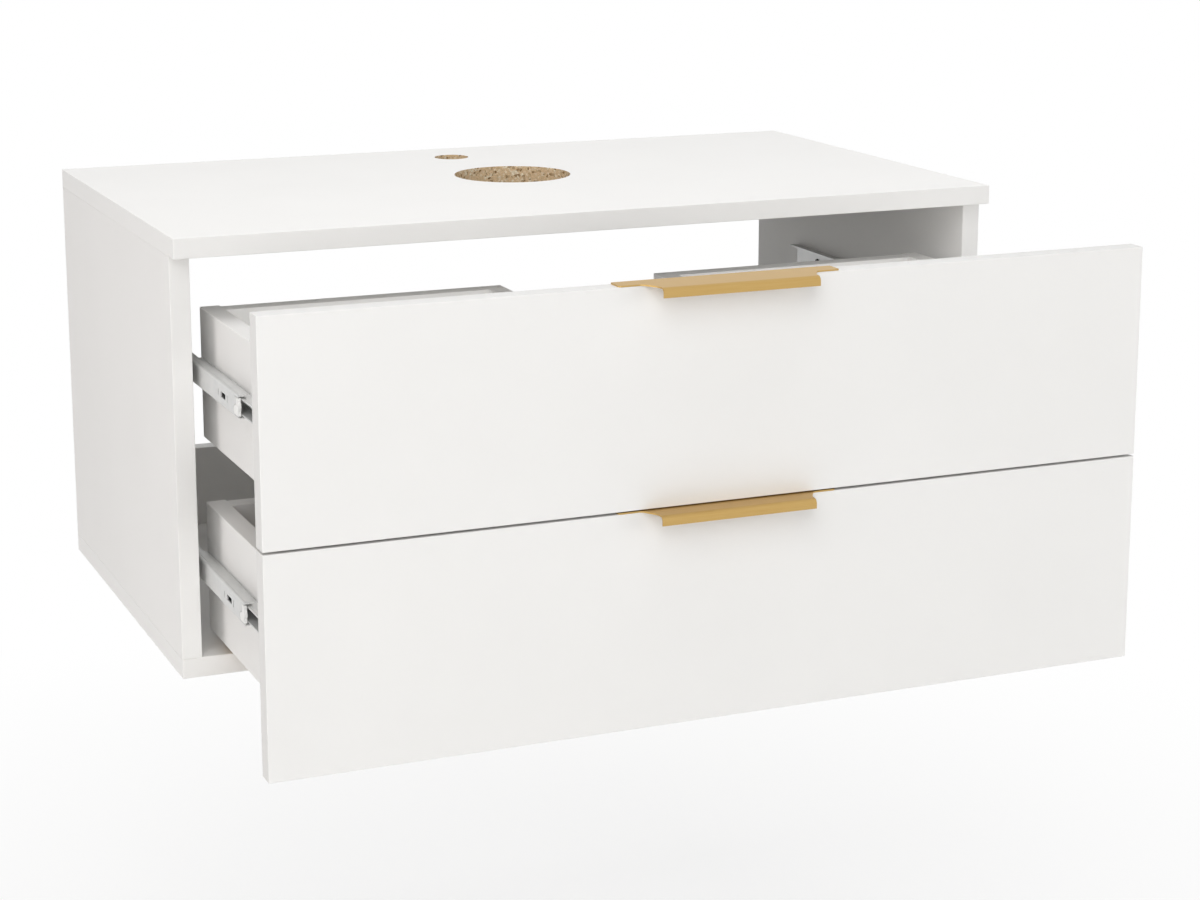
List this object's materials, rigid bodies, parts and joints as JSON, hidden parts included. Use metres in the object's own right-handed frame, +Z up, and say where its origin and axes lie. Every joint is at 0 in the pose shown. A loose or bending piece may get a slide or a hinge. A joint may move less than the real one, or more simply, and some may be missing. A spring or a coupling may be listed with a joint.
{
  "type": "wall-hung vanity cabinet",
  "caption": "Wall-hung vanity carcass with wide drawers on ball-bearing runners, gold edge pulls, holes for a tap and a waste pipe, and drawer boxes cut out round the trap.",
  "frame": {"origin": "centre of the rectangle of four wall-screw holes, on the wall's face, which is the back plane of the cabinet", "axes": "+X to the right along the wall, +Y into the wall, so that the drawers open towards -Y, and +Z up"},
  "size_m": [0.8, 0.74, 0.397],
  "materials": {
    "white_board": "smooth white melamine on chipboard",
    "white_hardboard": "smooth white face",
    "beech": "plain",
    "gold_aluminium": "brushed, gold anodised",
    "zinc_steel": "zinc plated, satin",
    "black_steel": "black phosphated, matte",
    "grey_plastic": "matte"
  },
  "bodies": {
    "cabinet": {"top_panel": "white_board", "bottom_panel": "white_board", "left_side_panel": "white_board", "right_side_panel": "white_board", "upper_back_rail": "white_board", "lower_back_rail": "white_board", "cabinet_dowels": "beech", "cabinet_rail_screws": "black_steel", "lower_left_cabinet_rail": "zinc_steel", "lower_right_cabinet_rail": "zinc_steel", "upper_left_cabinet_rail": "zinc_steel", "upper_right_cabinet_rail": "zinc_steel"},
    "lower_drawer": {"lower_front": "white_board", "lower_handle": "gold_aluminium", "lower_handle_screws": "zinc_steel", "lower_box_left_side": "white_board", "lower_box_right_side": "white_board", "lower_box_back_left": "white_board", "lower_box_back_right": "white_board", "lower_recess_left_wall": "white_board", "lower_recess_right_wall": "white_board", "lower_recess_front_wall": "white_board", "lower_box_bottom": "white_hardboard", "lower_box_dowels": "beech", "lower_drawer_rail_screws": "black_steel", "lower_left_drawer_rail": "zinc_steel", "lower_right_drawer_rail": "zinc_steel"},
    "lower_left_middle_rail": {"lower_left_middle_rail": "zinc_steel", "lower_left_end_stop": "grey_plastic"},
    "lower_left_outer_cage": {"lower_left_outer_ball_cage": "zinc_steel"},
    "lower_left_inner_cage": {"lower_left_inner_ball_cage": "zinc_steel"},
    "lower_right_middle_rail": {"lower_right_middle_rail": "zinc_steel", "lower_right_end_stop": "grey_plastic"},
    "lower_right_outer_cage": {"lower_right_outer_ball_cage": "zinc_steel"},
    "lower_right_inner_cage": {"lower_right_inner_ball_cage": "zinc_steel"},
    "upper_drawer": {"upper_front": "white_board", "upper_handle": "gold_aluminium", "upper_handle_screws": "zinc_steel", "upper_box_left_side": "white_board", "upper_box_right_side": "white_board", "upper_box_back_left": "white_board", "upper_box_back_right": "white_board", "upper_recess_left_wall": "white_board", "upper_recess_right_wall": "white_board", "upper_recess_front_wall": "white_board", "upper_box_bottom": "white_hardboard", "upper_box_dowels": "beech", "upper_drawer_rail_screws": "black_steel", "upper_left_drawer_rail": "zinc_steel", "upper_right_drawer_rail": "zinc_steel"},
    "upper_left_middle_rail": {"upper_left_middle_rail": "zinc_steel", "upper_left_end_stop": "grey_plastic"},
    "upper_left_outer_cage": {"upper_left_outer_ball_cage": "zinc_steel"},
    "upper_left_inner_cage": {"upper_left_inner_ball_cage": "zinc_steel"},
    "upper_right_middle_rail": {"upper_right_middle_rail": "zinc_steel", "upper_right_end_stop": "grey_plastic"},
    "upper_right_outer_cage": {"upper_right_outer_ball_cage": "zinc_steel"},
    "upper_right_inner_cage": {"upper_right_inner_ball_cage": "zinc_steel"}
  },
  "joints": [
    {"name": "lower_drawer_slide", "type": "slide", "parent": "cabinet", "child": "lower_drawer", "axis": [0, -1, 0], "range_m": [-0.256, 0.044]},
    {"name": "lower_left_middle_rail_slide", "type": "slide", "parent": "cabinet", "child": "lower_left_middle_rail", "axis": [0, -1, 0], "range_m": [-0.128, 0.022]},
    {"name": "lower_left_outer_cage_slide", "type": "slide", "parent": "cabinet", "child": "lower_left_outer_cage", "axis": [0, -1, 0], "range_m": [-0.064, 0.011]},
    {"name": "lower_left_inner_cage_slide", "type": "slide", "parent": "cabinet", "child": "lower_left_inner_cage", "axis": [0, -1, 0], "range_m": [-0.192, 0.033]},
    {"name": "lower_right_middle_rail_slide", "type": "slide", "parent": "cabinet", "child": "lower_right_middle_rail", "axis": [0, -1, 0], "range_m": [-0.128, 0.022]},
    {"name": "lower_right_outer_cage_slide", "type": "slide", "parent": "cabinet", "child": "lower_right_outer_cage", "axis": [0, -1, 0], "range_m": [-0.064, 0.011]},
    {"name": "lower_right_inner_cage_slide", "type": "slide", "parent": "cabinet", "child": "lower_right_inner_cage", "axis": [0, -1, 0], "range_m": [-0.192, 0.033]},
    {"name": "upper_drawer_slide", "type": "slide", "parent": "cabinet", "child": "upper_drawer", "axis": [0, -1, 0], "range_m": [-0.256, 0.044]},
    {"name": "upper_left_middle_rail_slide", "type": "slide", "parent": "cabinet", "child": "upper_left_middle_rail", "axis": [0, -1, 0], "range_m": [-0.128, 0.022]},
    {"name": "upper_left_outer_cage_slide", "type": "slide", "parent": "cabinet", "child": "upper_left_outer_cage", "axis": [0, -1, 0], "range_m": [-0.064, 0.011]},
    {"name": "upper_left_inner_cage_slide", "type": "slide", "parent": "cabinet", "child": "upper_left_inner_cage", "axis": [0, -1, 0], "range_m": [-0.192, 0.033]},
    {"name": "upper_right_middle_rail_slide", "type": "slide", "parent": "cabinet", "child": "upper_right_middle_rail", "axis": [0, -1, 0], "range_m": [-0.128, 0.022]},
    {"name": "upper_right_outer_cage_slide", "type": "slide", "parent": "cabinet", "child": "upper_right_outer_cage", "axis": [0, -1, 0], "range_m": [-0.064, 0.011]},
    {"name": "upper_right_inner_cage_slide", "type": "slide", "parent": "cabinet", "child": "upper_right_inner_cage", "axis": [0, -1, 0], "range_m": [-0.192, 0.033]}
  ],
  "couplings": [
    {"joint": "lower_left_middle_rail_slide", "follows": "lower_drawer_slide", "ratio": 0.5},
    {"joint": "lower_left_outer_cage_slide", "follows": "lower_drawer_slide", "ratio": 0.25},
    {"joint": "lower_left_inner_cage_slide", "follows": "lower_drawer_slide", "ratio": 0.75},
    {"joint": "lower_right_middle_rail_slide", "follows": "lower_drawer_slide", "ratio": 0.5},
    {"joint": "lower_right_outer_cage_slide", "follows": "lower_drawer_slide", "ratio": 0.25},
    {"joint": "lower_right_inner_cage_slide", "follows": "lower_drawer_slide", "ratio": 0.75},
    {"joint": "upper_left_middle_rail_slide", "follows": "upper_drawer_slide", "ratio": 0.5},
    {"joint": "upper_left_outer_cage_slide", "follows": "upper_drawer_slide", "ratio": 0.25},
    {"joint": "upper_left_inner_cage_slide", "follows": "upper_drawer_slide", "ratio": 0.75},
    {"joint": "upper_right_middle_rail_slide", "follows": "upper_drawer_slide", "ratio": 0.5},
    {"joint": "upper_right_outer_cage_slide", "follows": "upper_drawer_slide", "ratio": 0.25},
    {"joint": "upper_right_inner_cage_slide", "follows": "upper_drawer_slide", "ratio": 0.75}
  ]
}
